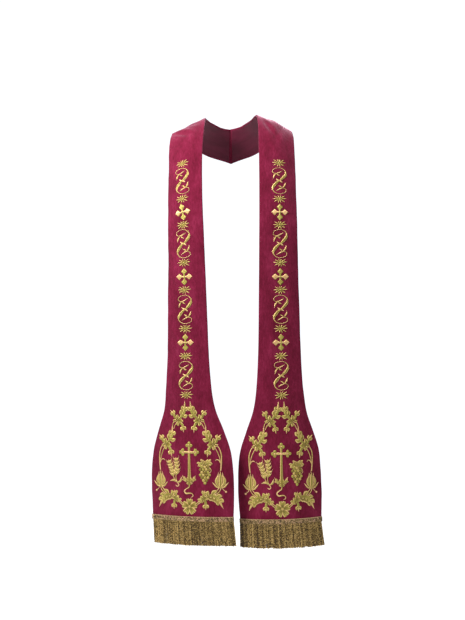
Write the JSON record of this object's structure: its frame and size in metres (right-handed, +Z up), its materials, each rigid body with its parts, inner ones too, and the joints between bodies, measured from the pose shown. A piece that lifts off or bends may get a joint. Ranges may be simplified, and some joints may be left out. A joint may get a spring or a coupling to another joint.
{
  "type": "clerical stole",
  "caption": "Long velvet stole as worn over both shoulders, narrow at the neck, with bell-shaped ends, gold embroidery and a headed gold fringe.",
  "frame": {"origin": "on the wearer's middle line, level with the tops of the shoulders, in the middle of the neck, where the wearer's neck and shoulders hold the stole", "axes": "+Z up along the hanging bands, -Y the way the wearer faces, +X the wearer's left"},
  "size_m": [0.4636, 0.2973, 1.1712],
  "materials": {
    "velvet": "wine-red velvet with a soft sheen, lined with matching satin",
    "gold_braid": "gold thread, satin stitch and woven braid, silky",
    "gold_fringe": "twisted gold bullion fringe, dull metallic"
  },
  "bodies": {
    "root": {"half_left": "velvet", "fringe_heading_left": "gold_braid", "fringe_left": "gold_fringe", "half_right": "velvet", "fringe_heading_right": "gold_braid", "fringe_right": "gold_fringe"}
  },
  "joints": []
}
